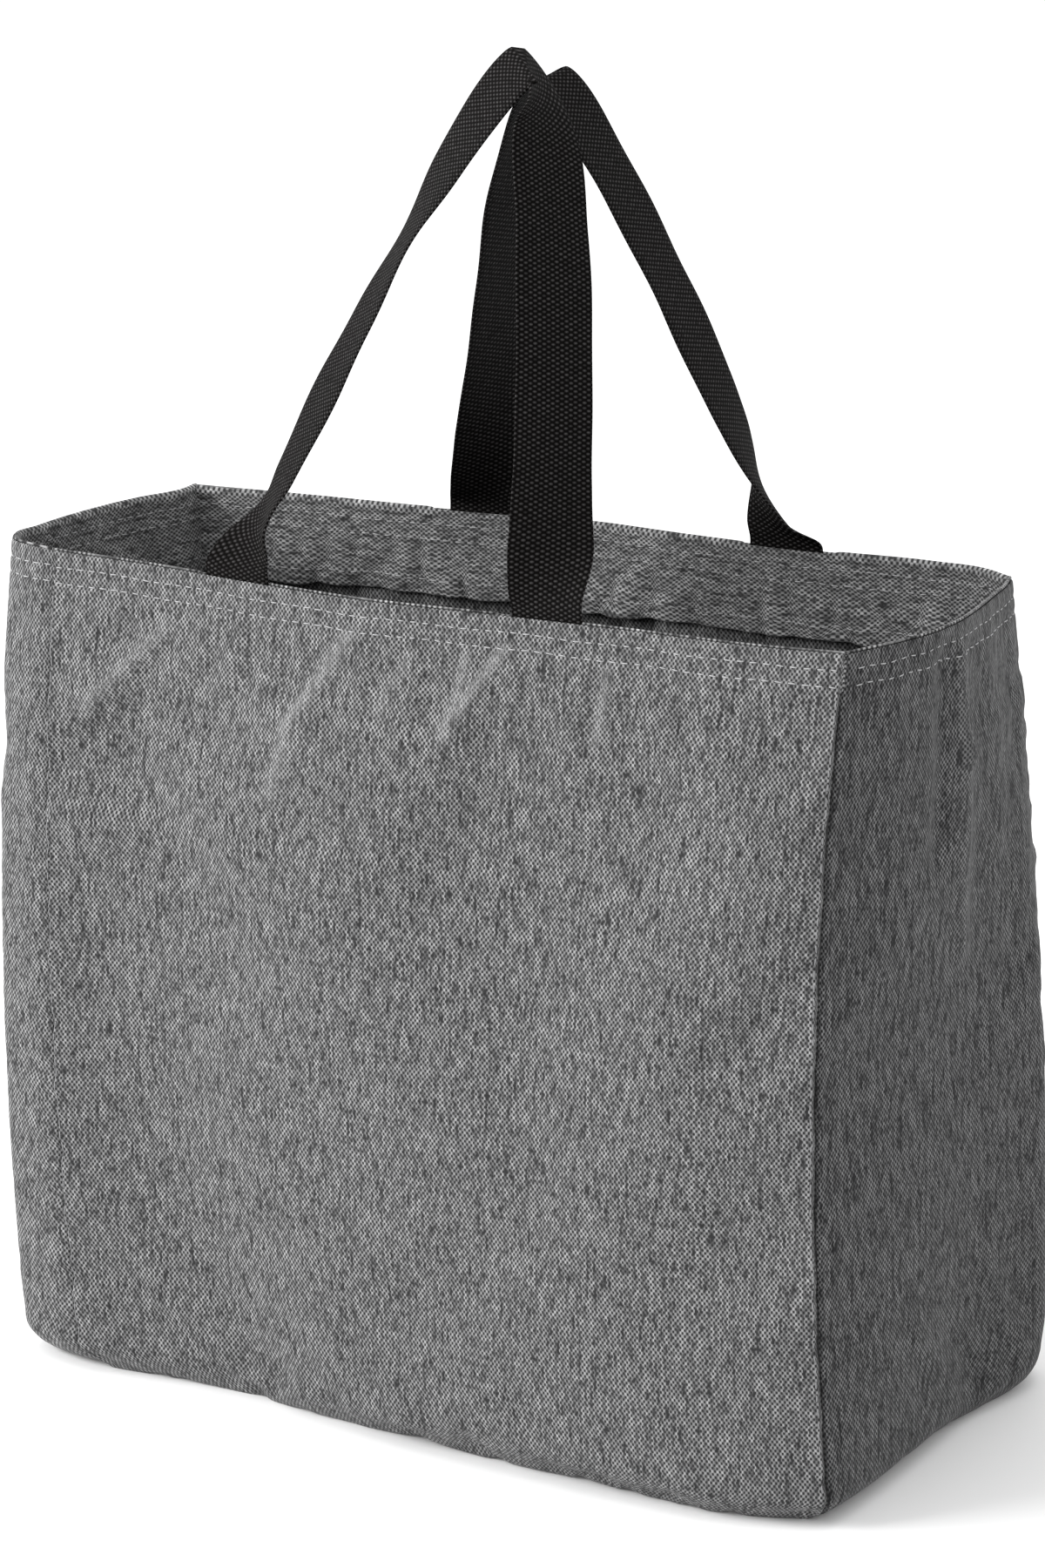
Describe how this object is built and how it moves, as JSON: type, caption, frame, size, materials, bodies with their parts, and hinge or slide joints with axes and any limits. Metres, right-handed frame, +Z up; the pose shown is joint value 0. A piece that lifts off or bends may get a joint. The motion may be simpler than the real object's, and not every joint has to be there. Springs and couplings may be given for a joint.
{
  "type": "tote bag",
  "caption": "Open-top gusseted canvas tote bag with a faced rim, rows of topstitching and two webbing carrying handles that hinge outward from the rim.",
  "frame": {"origin": "on the floor, under the middle of the bag", "axes": "+X to the bag's right along the front panel, -Y out of the front panel, +Z up"},
  "size_m": [0.3604, 0.1684, 0.5097],
  "materials": {
    "panel_canvas": "heather-grey woven polyester canvas, upright slub streaks, matte",
    "gusset_canvas": "darker heather-grey woven polyester canvas, matte",
    "facing_canvas": "heather-grey woven polyester canvas with the grain running round the rim, matte",
    "webbing": "black ribbed woven webbing, low sheen",
    "thread": "pale grey polyester sewing thread, slight sheen"
  },
  "bodies": {
    "bag": {"front_panel": "panel_canvas", "back_panel": "panel_canvas", "left_gusset": "gusset_canvas", "right_gusset": "gusset_canvas", "bottom_panel": "panel_canvas", "front_facing": "facing_canvas", "back_facing": "facing_canvas", "left_facing": "facing_canvas", "right_facing": "facing_canvas", "front_handle_ends": "webbing", "back_handle_ends": "webbing", "rim_topstitch_upper": "thread", "rim_topstitch_lower": "thread", "facing_hem_stitch": "thread", "corner_seam_stitch": "thread", "bottom_seam_stitch": "thread"},
    "front_handle": {"front_handle": "webbing"},
    "back_handle": {"back_handle": "webbing"}
  },
  "joints": [
    {"name": "front_handle_swing", "type": "hinge", "parent": "bag", "child": "front_handle", "pos_m": [0, -0.065, 0.32], "axis": [1, 0, 0], "range_deg": [0, 170]},
    {"name": "back_handle_swing", "type": "hinge", "parent": "bag", "child": "back_handle", "pos_m": [0, 0.065, 0.32], "axis": [-1, 0, 0], "range_deg": [0, 170]}
  ]
}
